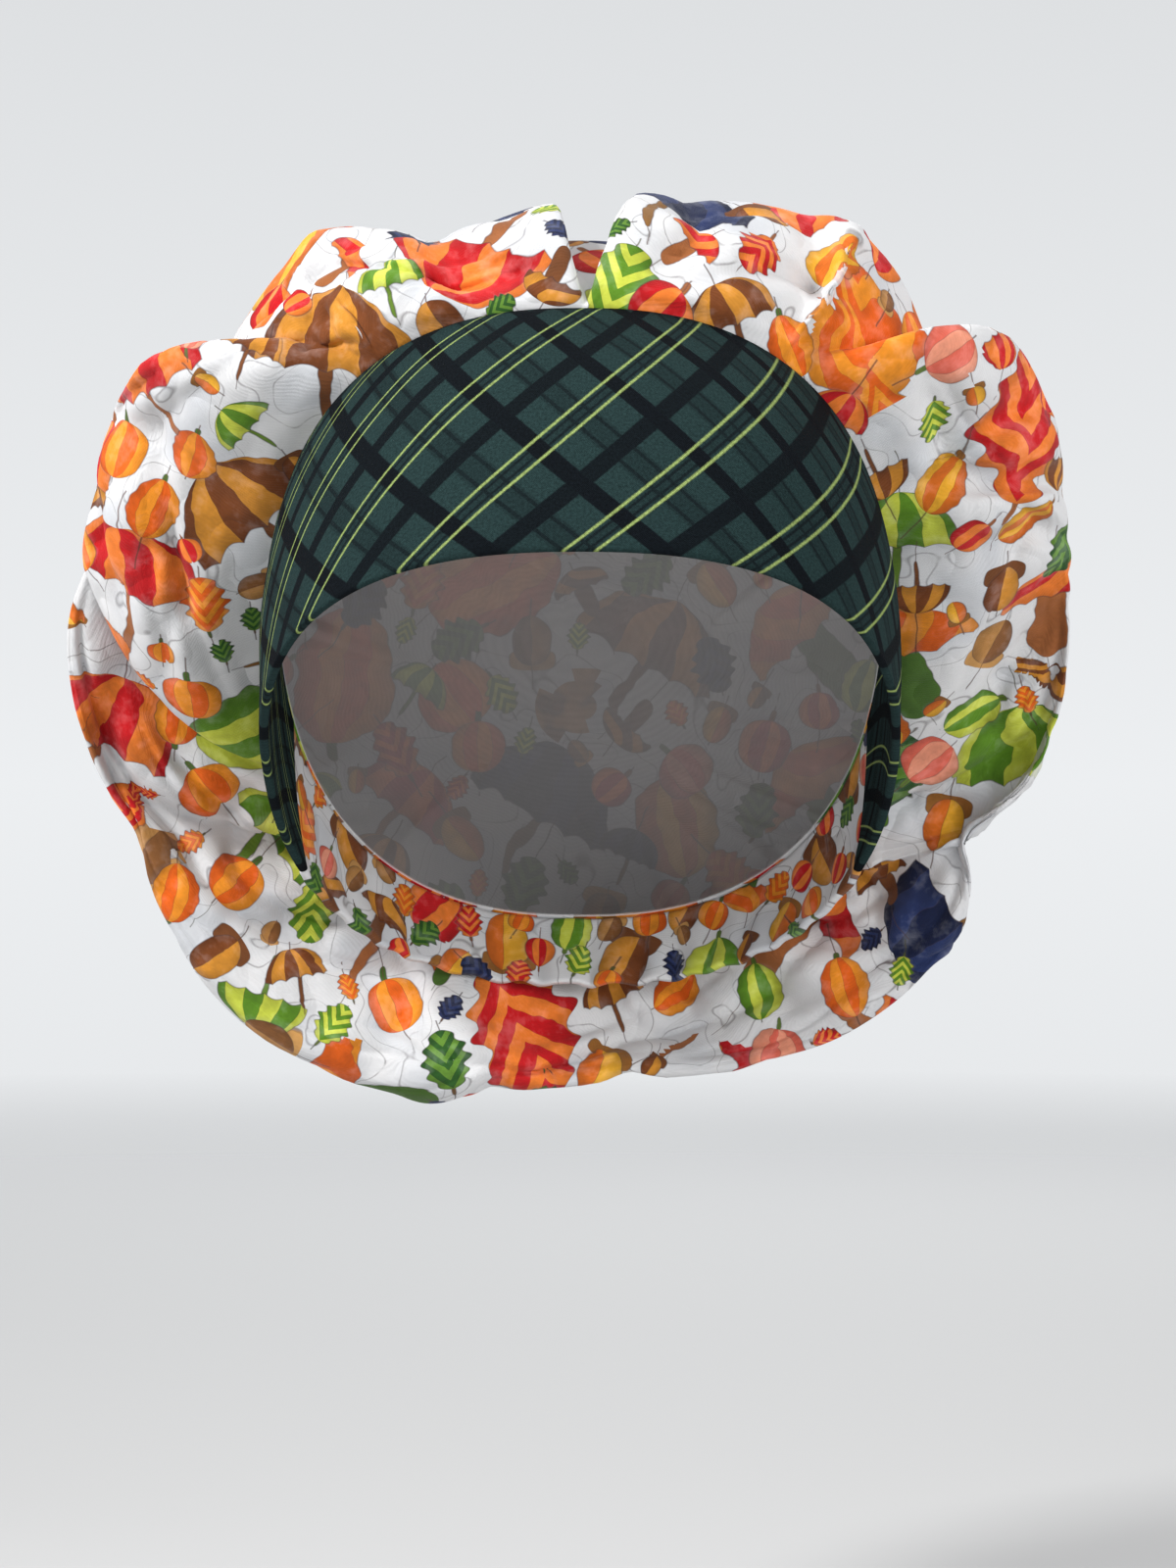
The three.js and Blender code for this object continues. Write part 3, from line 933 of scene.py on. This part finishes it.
@dataclass
class NapeCasing:
    """The gathered casing round the nape, with its cloth drawn up on the elastic, in millimetres."""

    cut: Cut = field(default_factory=Cut)
    wall: float = 2.4
    thinner: float = 0.4
    gather_depth: float = 1.5
    gathers: int = 17
    drift_noise: Noise = Noise(across=30.0, along=12.0, seed=81)
    drift: float = 0.25
    bend_noise: Noise = Noise(across=4.0, along=6.0, seed=82)
    bend: float = 0.3
    columns: int = 408
    rows: int = 22
    flat: Pair = (0.2, 0.034)
    layers: tuple[Layer, ...] = (
        Layer("large", ((11.0, 300), (8.0, 600))),
        Layer("small", ((5.6, 900), (4.0, 900))),
    )
    seed: int = 43

    def build(self) -> bpy.types.Object:
        """Make the casing: a strip between rim and seam that rises in waves and is calm at its ends.

        Its lift is the gathers' depth times (1 - cos) / 2 of the way along, which drifts with a noise.

        Returns:
            The casing.
        """
        start = self.cut.band_end + np.degrees(self.cut.seam_gap / self.cut.hollow.half_width)
        azimuth = np.linspace(start, FULL_TURN - start, self.columns + 1)
        share = np.linspace(0.0, 1.0, self.rows)[:, None]
        along = np.linspace(0.0, 1.0, self.columns + 1)[None, :]
        shape = (self.rows, self.columns + 1)
        drift = cloth_noise(shape, *self.drift_noise) * self.drift
        wave = (1.0 - np.cos(2.0 * np.pi * (self.gathers * along + drift))) / 2.0
        fading = np.sqrt(np.sin(np.pi * along).clip(0.0)) * (1.0 - share**2)
        bend = cloth_noise(shape, *self.bend_noise) * self.bend * fading
        lift = self.gather_depth * wave * fading + bend + self.wall
        points = self.cut.strip(azimuth[None, :], np.broadcast_to(share, shape), lift)
        obj = put_mesh("casing_cloth", points.reshape(-1, 3), grid_faces(*shape, round_columns=False))
        Scatter(layers=self.layers, seed=self.seed).dress(obj)
        wall = obj.modifiers.new("wall", "SOLIDIFY")
        wall.thickness = (self.wall - self.thinner) * MM
        wall.offset = -1.0
        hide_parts("nape_casing")
        return obj


def with_other(operation: str, swapped: bool = False) -> Callable[["Wire", "Wire | float"], "Wire"]:
    """Make a method of Wire that puts itself and one other value through a Math node.

    Args:
        operation: the node's operation.
        swapped: whether the other value goes first.

    Returns:
        The method.
    """

    def join(wire: "Wire", other: "Wire | float") -> "Wire":
        """Add the node and take its output."""
        values = (other, wire) if swapped else (wire, other)
        return wire.graph.math(operation, *values)

    return join


def by_itself(operation: str) -> Callable[["Wire"], "Wire"]:
    """Make a method of Wire that puts itself through a Math node."""
    return lambda wire: wire.graph.math(operation, wire)


class Wire:
    """A number that comes out of a shader node, so that sums on it add Math nodes."""

    def __init__(self, graph: "Graph", socket: bpy.types.NodeSocket) -> None:
        """Keep the graph and the socket that the number comes from."""
        self.graph = graph
        self.socket = socket

    __add__ = with_other("ADD")
    __radd__ = with_other("ADD")
    __sub__ = with_other("SUBTRACT")
    __rsub__ = with_other("SUBTRACT", swapped=True)
    __mul__ = with_other("MULTIPLY")
    __rmul__ = with_other("MULTIPLY")
    __truediv__ = with_other("DIVIDE")
    __rtruediv__ = with_other("DIVIDE", swapped=True)
    __pow__ = with_other("POWER")
    __abs__ = by_itself("ABSOLUTE")
    at_most = with_other("MINIMUM")
    at_least = with_other("MAXIMUM")
    sine = by_itself("SINE")
    fraction = by_itself("FRACT")

    def root(self) -> "Wire":
        """The square root of self, or 0 below 0."""
        return self.graph.math("SQRT", self.at_least(0.0))

    def above(self, level: float, softness: float) -> "Wire":
        """Rise from 0 to 1 as self passes a level.

        Args:
            level: where the rise is halfway.
            softness: how far self goes on during the rise.

        Returns:
            The number between 0 and 1.
        """
        scaled = self * (1.0 / softness) + (0.5 - level / softness)
        scaled.socket.node.use_clamp = True
        return scaled

    def line(self, width: "Wire | float") -> "Wire":
        """Draw a line where self is 0.

        Args:
            width: how far from 0 the line fades out.

        Returns:
            1 on the line, and 0 past the width.
        """
        made = 1.0 - abs(self) / width
        made.socket.node.use_clamp = True
        return made


Value = Wire | float | tuple[float, ...] | bpy.types.NodeSocket


class Graph:
    """The nodes of one material."""

    def __init__(self, name: str, tree: bpy.types.NodeTree | None = None) -> None:
        """Empty the given tree, or make a material with an empty one.

        Args:
            name: the material's name.
            tree: nodes that are there already, such as the world's.
        """
        if tree is None:
            self.material = bpy.data.materials.new(name)
            self.material.use_nodes = True
            tree = self.material.node_tree
        self.nodes = tree.nodes
        self.links = tree.links
        self.nodes.clear()

    def node(
        self,
        kind: str,
        settings: dict[str, object] | None = None,
        inputs: dict[str | int, Value] | None = None,
    ) -> bpy.types.Node:
        """Add one node.

        Args:
            kind: the node's type.
            settings: its properties, which are set first.
            inputs: values or links for its input sockets, by name or number.

        Returns:
            The node.
        """
        made = self.nodes.new(kind)
        for name, value in (settings or {}).items():
            setattr(made, name, value)
        for name, value in (inputs or {}).items():
            socket = value.socket if isinstance(value, Wire) else value
            if isinstance(socket, bpy.types.NodeSocket):
                self.links.new(socket, made.inputs[name])
            else:
                made.inputs[name].default_value = socket
        return made

    def math(self, operation: str, *values: Wire | float) -> Wire:
        """Add a Math node on one, two or three values."""
        made = self.node("ShaderNodeMath", {"operation": operation}, dict(enumerate(values)))
        return Wire(self, made.outputs[0])

    def fact(self, name: str) -> tuple[bpy.types.NodeSocket, list[Wire]]:
        """Read a stored vector.

        Args:
            name: the attribute's name.

        Returns:
            The vector, and its three numbers.
        """
        read = self.node("ShaderNodeAttribute", {"attribute_name": name})
        parts = self.node("ShaderNodeSeparateXYZ", inputs={0: read.outputs["Vector"]})
        return read.outputs["Vector"], [Wire(self, out) for out in parts.outputs]

    def blend(self, share: Wire | float, low: Value, high: Value) -> bpy.types.NodeSocket:
        """Mix two colours by a share."""
        made = self.node("ShaderNodeMix", {"data_type": "RGBA"}, {0: share, 6: low, 7: high})
        return made.outputs[2]

    def tint(self, colour: Value, strength: Wire | float) -> bpy.types.NodeSocket:
        """Multiply a colour by a number."""
        made = self.node("ShaderNodeVectorMath", {"operation": "SCALE"}, {0: colour, "Scale": strength})
        return made.outputs[0]

    def noise(self, place: Value, scale: float, detail: float = 2.0, roughness: float = 0.5) -> Wire:
        """Read noise, from 0 to 1, at a place."""
        inputs = {"Vector": place, "Scale": scale, "Detail": detail, "Roughness": roughness}
        return Wire(self, self.node("ShaderNodeTexNoise", inputs=inputs).outputs[0])

    def finish(
        self, colour: Value, roughness: Value, bump: Wire, height: float, look: dict[str, Value]
    ) -> None:
        """End the material in a Principled shader.

        Args:
            colour: the base colour.
            roughness: the roughness.
            bump: the relief, about 0 to 1.
            height: the relief's height in metres.
            look: values that are the same all over, for the shader's own sockets.
        """
        relief = self.node("ShaderNodeBump", inputs={"Strength": 1.0, "Distance": height, "Height": bump})
        inputs = {"Base Color": colour, "Roughness": roughness, "Normal": relief.outputs[0], **look}
        shader = self.node("ShaderNodeBsdfPrincipled", inputs=inputs)
        self.node("ShaderNodeOutputMaterial", inputs={"Surface": shader.outputs[0]})


@dataclass(frozen=True)
class PrintCotton:
    """Plain-weave cotton with a watercolour print of autumn things on white."""

    name: str = "print_cotton"
    ground: Colour = (0.66, 0.655, 0.66, 1.0)
    outline: Colour = (0.05, 0.03, 0.03, 1.0)
    shadow: Colour = (0.40, 0.44, 0.50, 1.0)
    strength: float = 1.0
    thread_mm: float = 0.42
    relief_m: float = 0.00012
    pucker_depth: float = 7.0
    roughness: float = 0.86
    pencil_ink: float = 0.55
    wash_cloud: float = 0.3
    edge_mm: float = 0.22
    lobe_waves: float = 17.0
    scallop: float = 0.07
    scallop_waves: float = 8.0
    thin_ink: float = 0.42
    rim_shade: float = 0.35
    bare_patch: float = 0.12
    halo_ink: float = 0.2
    line_width: float = 1.3
    line_ink: float = 0.6
    stripe_line_width: float = 6.0
    stripe_line_ink: float = 0.7

    def build(self) -> bpy.types.Material:
        """Draw the ground with its thin pencil lines, then the two layers of motifs, then the threads.

        Returns:
            The material.
        """
        g = Graph(self.name)
        place, (x, y, z) = g.fact("cloth_place")
        wash = g.noise(place, 0.16, 3.0, 0.6)
        sway = g.noise(place, 0.07, 1.0) - 0.5
        ripple = (g.noise(place, 0.3, 0.0) - 0.5) * 0.06
        drawn = g.noise(place, 0.045, 1.0)
        pencil = (drawn - 0.5).line(0.006).at_least((drawn - 0.58).line(0.005))
        pencil = pencil * (wash - 0.38).above(0.0, 0.2) * self.pencil_ink
        base = g.blend(pencil, self.ground, self.outline)
        base = g.blend((drawn - 0.58).above(0.0, 0.12) * self.wash_cloud, base, self.shadow)
        for layer in ("large", "small"):
            base = self.layer(g, layer, base, wash, sway, ripple)
        washed = g.blend(self.strength, self.ground, base)
        puckers = 1.0 - abs(g.noise(place, 0.055, 1.0) - 0.5) * 5.0
        weave = self.weave(g, place, x, y, z)
        washed = g.tint(washed, 0.93 + weave * 0.1)
        look = {"Sheen Weight": 0.08, "Sheen Roughness": 0.5, "Specular IOR Level": 0.2}
        relief = weave - puckers.at_least(0.0) * self.pucker_depth
        g.finish(washed, self.roughness, relief, self.relief_m, look)
        return g.material

    def layer(self, g: Graph, name: str, base: Value, wash: Wire, sway: Wire, ripple: Wire) -> Value:
        """Draw one layer's motifs over the colours below.

        A form's half width at a height is wide (1 - (|height - centre| / tall) to the power) to the 1/2,
        and the distance to its edge is that less the distance from the middle line.

        Args:
            g: the material's graph.
            name: the start of the names of the layer's facts.
            base: the colours below.
            wash: the strength of the ink, a noise.
            sway: the slow waver of the drawing, a noise about 0.
            ripple: the quick waver of the drawing, a noise about 0.

        Returns:
            The colours with the layer on them.
        """
        _, (u, v, radius) = g.fact(f"{name}_place")
        _, (wide, centre, tall) = g.fact(f"{name}_main_form")
        _, (power, cut, lobes) = g.fact(f"{name}_main_trim")
        _, (gores, waves, chevron) = g.fact(f"{name}_main_stripes")
        _, (minor_wide, minor_centre, minor_tall) = g.fact(f"{name}_minor_form")
        ink_main, _ = g.fact(f"{name}_ink_main")
        ink_stripe, _ = g.fact(f"{name}_ink_stripe")
        ink_minor, _ = g.fact(f"{name}_ink_minor")
        u = u + sway * 0.3 + ripple
        v = v - sway * 0.2
        soft = self.edge_mm / radius
        height = (v - centre) / tall
        half = wide * (1.0 - (abs(height).at_most(1.0)) ** power).root()
        half = half * (1.0 + lobes * (v * self.lobe_waves).sine())
        edge = cut + self.scallop * abs((u * self.scallop_waves).sine())
        main = (half - abs(u)).at_most(v - edge)
        inside = (main / soft).above(0.0, 1.0)
        minor_half = minor_wide * (1.0 - abs((v - minor_centre) / minor_tall).at_most(1.0) ** 4.0).root()
        minor = minor_half - abs(u)
        minor_inside = (minor / soft).above(0.0, 1.0)
        stripes = (gores * (u / half.at_least(0.05)) + waves * (v - chevron * abs(u))).sine()
        striped = (stripes / (soft * 3.0)).above(0.0, 1.0)
        rounding = (1.0 - main * 3.0).at_least(0.0)
        colour = g.blend(striped, ink_main, ink_stripe)
        colour = g.tint(colour, (self.thin_ink + wash) * (1.0 - rounding * self.rim_shade))
        colour = g.blend((wash - 0.6).above(0.0, 0.2) * self.bare_patch, colour, self.ground)
        halo = (1.0 + main * 5.0).at_least(0.0).at_most(1.0) * (1.0 - inside) * self.halo_ink
        base = g.blend(halo * wash, base, self.shadow)
        base = g.blend(minor_inside, base, g.tint(ink_minor, 0.6 + wash * 0.8))
        base = g.blend(inside, base, colour)
        pen = soft * self.line_width
        lines = (main / pen).line(1.0) + (minor / pen).line(1.0) * (1.0 - inside)
        between = (stripes / (soft * self.stripe_line_width)).line(1.0)
        lines = lines + between * inside * self.stripe_line_ink
        return g.blend(lines.at_most(1.0) * self.line_ink, base, self.outline)

    def weave(self, g: Graph, place: Value, x: Wire, y: Wire, z: Wire) -> Wire:
        """Give the thread relief: sines across the cloth in three directions, broken up by noise.

        Args:
            g: the material's graph.
            place: the place on the cloth, in millimetres.
            x: the place's first number.
            y: its second.
            z: its third.

        Returns:
            The relief, about 0 to 1.
        """
        count = 2.0 * np.pi / self.thread_mm
        threads = ((x + z * 0.3) * count).sine() * ((z - x * 0.3) * count).sine() * 0.3
        threads = threads + ((y + z * 0.2) * count).sine() * 0.2
        return 0.5 + threads + (g.noise(place, 1.4, 3.0, 0.7) - 0.5) * 0.8


class Stripe(NamedTuple):
    """One stripe of the plaid: its direction, its middle and width in millimetres, and its strength."""

    rising: bool
    middle: float
    width: float
    strength: float


@dataclass(frozen=True)
class PlaidCotton:
    """Plain-weave cotton printed with a dark green plaid, cut on the bias."""

    name: str = "plaid_cotton"
    ground: Colour = (0.0145, 0.031, 0.031, 1.0)
    dark: Colour = (0.003, 0.004, 0.006, 1.0)
    bright: Colour = (0.27, 0.35, 0.11, 1.0)
    period_mm: float = 24.0
    slope_deg: float = 43.0
    thread_mm: float = 0.45
    relief_m: float = 0.00014
    roughness: float = 0.9
    ragged_mm: float = 0.2
    edge_mm: float = 0.35
    dark_stripes: tuple[Stripe, ...] = (
        Stripe(rising=True, middle=12.0, width=4.0, strength=0.9),
        Stripe(rising=False, middle=12.0, width=4.2, strength=0.95),
        Stripe(rising=True, middle=-0.9, width=0.7, strength=0.75),
        Stripe(rising=True, middle=0.9, width=0.7, strength=0.75),
        Stripe(rising=False, middle=2.2, width=1.0, strength=0.7),
        Stripe(rising=False, middle=-2.2, width=1.0, strength=0.7),
        Stripe(rising=False, middle=0.0, width=6.5, strength=0.3),
        Stripe(rising=True, middle=0.0, width=3.0, strength=0.25),
    )
    bright_stripes: tuple[Stripe, ...] = (
        Stripe(rising=True, middle=2.2, width=0.6, strength=0.9),
        Stripe(rising=True, middle=-2.2, width=0.6, strength=0.9),
    )

    def build(self) -> bpy.types.Material:
        """Draw the stripes across two crossed directions of the flat cloth.

        Across is the place along the band turned by the slope. A stripe is where the distance from its
        middle, in the period, is below half its width.

        Returns:
            The material.
        """
        g = Graph(self.name)
        place, (run, rise, _) = g.fact("cloth_place")
        turn = np.radians(self.slope_deg)
        falling = run * float(np.sin(turn)) + rise * float(np.cos(turn))
        rising = run * float(np.sin(turn)) - rise * float(np.cos(turn))
        ragged = (g.noise(place, 0.9, 2.0) - 0.5) * self.ragged_mm

        def strongest(stripes: tuple[Stripe, ...]) -> Wire:
            """Draw several stripes at once.

            Args:
                stripes: the stripes.

            Returns:
                At each place, the strength of the strongest of them.
            """
            shades: list[Wire] = []
            for stripe in stripes:
                across = rising if stripe.rising else falling
                inside = ((across - stripe.middle) / self.period_mm + 0.5).fraction() - 0.5
                depth = stripe.width / 2.0 - abs(inside * self.period_mm + ragged)
                shades.append(depth.above(0.0, self.edge_mm) * stripe.strength)
            while len(shades) > 1:
                shades.append(shades.pop(0).at_least(shades.pop(0)))
            return shades[0]

        colour = g.blend(strongest(self.dark_stripes), self.ground, self.dark)
        colour = g.blend(strongest(self.bright_stripes), colour, self.bright)
        count = 2.0 * np.pi / self.thread_mm
        speckle = g.noise(place, 1.5, 2.0, 0.8)
        weave = 0.5 + (run * count).sine() * (rise * count).sine() * 0.35 + (speckle - 0.5) * 0.9
        colour = g.tint(colour, 0.1 + speckle * 1.8)
        look = {"Specular IOR Level": 0.06}
        g.finish(colour, self.roughness, weave, self.relief_m, look)
        return g.material


class Lamp(NamedTuple):
    """A square soft light: its place and width in metres, and its power in watts."""

    name: str
    place: Spot
    size: float
    power: float


@dataclass(frozen=True)
class Studio:
    """The camera, the lights and the pale surroundings, in metres."""

    eye_x: float = 0.00195
    eye_distance: float = 1.1
    mm_per_pixel: float = 0.2442
    photo_height: int = 1600
    sensor_mm: float = 36.0
    floor_z: float = -0.24
    floor_end: float = 2.6
    clear: float = 0.4
    tone: float = 0.5
    ambient: float = 0.36
    horizon: float = 0.52
    horizon_fall: float = 1.3
    sky: Colour = (0.96, 0.98, 1.0, 1.0)
    aim: Spot = (0.0, 0.03, 0.03)
    lamps: tuple[Lamp, ...] = (
        Lamp("key", (-1.0, -0.7, 0.85), 0.3, 25.0),
        Lamp("fill", (1.1, -1.0, 0.45), 0.7, 13.0),
        Lamp("top", (0.1, 0.35, 1.3), 0.6, 4.5),
        Lamp("rear", (0.2, 1.6, 0.7), 0.8, 8.0),
    )

    def camera(self) -> None:
        """Look level along +Y, with the photograph's scale at the cap's middle."""
        camera = bpy.data.objects.new("camera", bpy.data.cameras.new("camera"))
        focal_pixels = self.eye_distance / (self.mm_per_pixel * MM)
        camera.data.sensor_width = self.sensor_mm
        camera.data.lens = focal_pixels / self.photo_height * self.sensor_mm
        camera.location = (self.eye_x, -self.eye_distance, 0.0)
        camera.rotation_euler = (np.pi / 2.0, 0.0, 0.0)
        bpy.context.scene.collection.objects.link(camera)
        bpy.context.scene.camera = camera

    def floor(self) -> None:
        """Lay a plain pale floor that fades out far from the cap."""
        mesh = bpy.data.meshes.new("floor")
        far = self.floor_end
        corners = [(-far, -far, 0.0), (far, -far, 0.0), (far, far, 0.0), (-far, far, 0.0)]
        mesh.from_pydata(corners, [], [(0, 1, 2, 3)])
        obj = bpy.data.objects.new("floor", mesh)
        obj.location = (0.0, 0.0, self.floor_z)
        bpy.context.scene.collection.objects.link(obj)
        g = Graph("floor")
        spot = g.node("ShaderNodeTexCoord").outputs["Object"]
        away = Wire(g, g.node("ShaderNodeVectorMath", {"operation": "LENGTH"}, {0: spot}).outputs["Value"])
        alpha = 1.0 - away.above(0.5 * far + self.clear / 2.0, far - self.clear)
        inputs = {"Base Color": (self.tone, self.tone, self.tone, 1.0), "Roughness": 0.8, "Alpha": alpha}
        shader = g.node("ShaderNodeBsdfPrincipled", inputs=inputs)
        g.node("ShaderNodeOutputMaterial", inputs={"Surface": shader.outputs[0]})
        mesh.materials.append(g.material)

    def light(self, lamp: Lamp) -> None:
        """Hang one soft light that points at the cap.

        Args:
            lamp: its place, size and power.
        """
        data = bpy.data.lights.new(lamp.name, "AREA")
        data.size = lamp.size
        data.energy = lamp.power
        obj = bpy.data.objects.new(lamp.name, data)
        obj.location = lamp.place
        way = -np.array(lamp.place) + np.array(self.aim)
        obj.rotation_euler = (
            float(np.arctan2(np.hypot(way[0], way[1]), -way[2])),
            0.0,
            float(np.arctan2(way[1], way[0]) - np.pi / 2.0),
        )
        bpy.context.scene.collection.objects.link(obj)

    def build(self) -> None:
        """Set up the whole studio."""
        self.camera()
        self.floor()
        for lamp in self.lamps:
            self.light(lamp)
        world = bpy.data.worlds.new("studio")
        world.use_nodes = True
        g = Graph("sky", world.node_tree)
        way = g.node("ShaderNodeTexCoord").outputs["Object"]
        level = Wire(g, g.node("ShaderNodeSeparateXYZ", inputs={0: way}).outputs["Z"])
        glow = self.ambient + self.horizon * (1.0 - abs(level) * self.horizon_fall).at_least(0.0)
        sky = g.node("ShaderNodeBackground", inputs={"Color": self.sky, "Strength": glow})
        g.node("ShaderNodeOutputWorld", inputs={"Surface": sky.outputs[0]})
        bpy.context.scene.world = world
        bpy.context.scene.view_settings.view_transform = "Standard"


def main() -> None:
    """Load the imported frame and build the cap's pieces over it."""
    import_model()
    Studio().build()
    printed = PrintCotton().build()
    reverse = PrintCotton(name="print_cotton_reverse", strength=0.3).build()
    plaid = PlaidCotton().build()
    band = FrontBand().build()
    crown = Bouffant().build()
    casing = NapeCasing().build()
    for piece, slot, finishes in (
        (band, "plaid_cotton", [plaid]),
        (crown, "print_cotton", [printed, reverse]),
        (casing, "print_cotton", [printed]),
    ):
        for finish in finishes:
            piece.data.materials.append(finish)
        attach(piece, "root")
        LOG.info("%s: %d faces", piece.name, len(piece.data.polygons))
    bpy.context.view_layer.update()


if __name__ == "__main__":
    logging.basicConfig(level=logging.INFO)
    main()
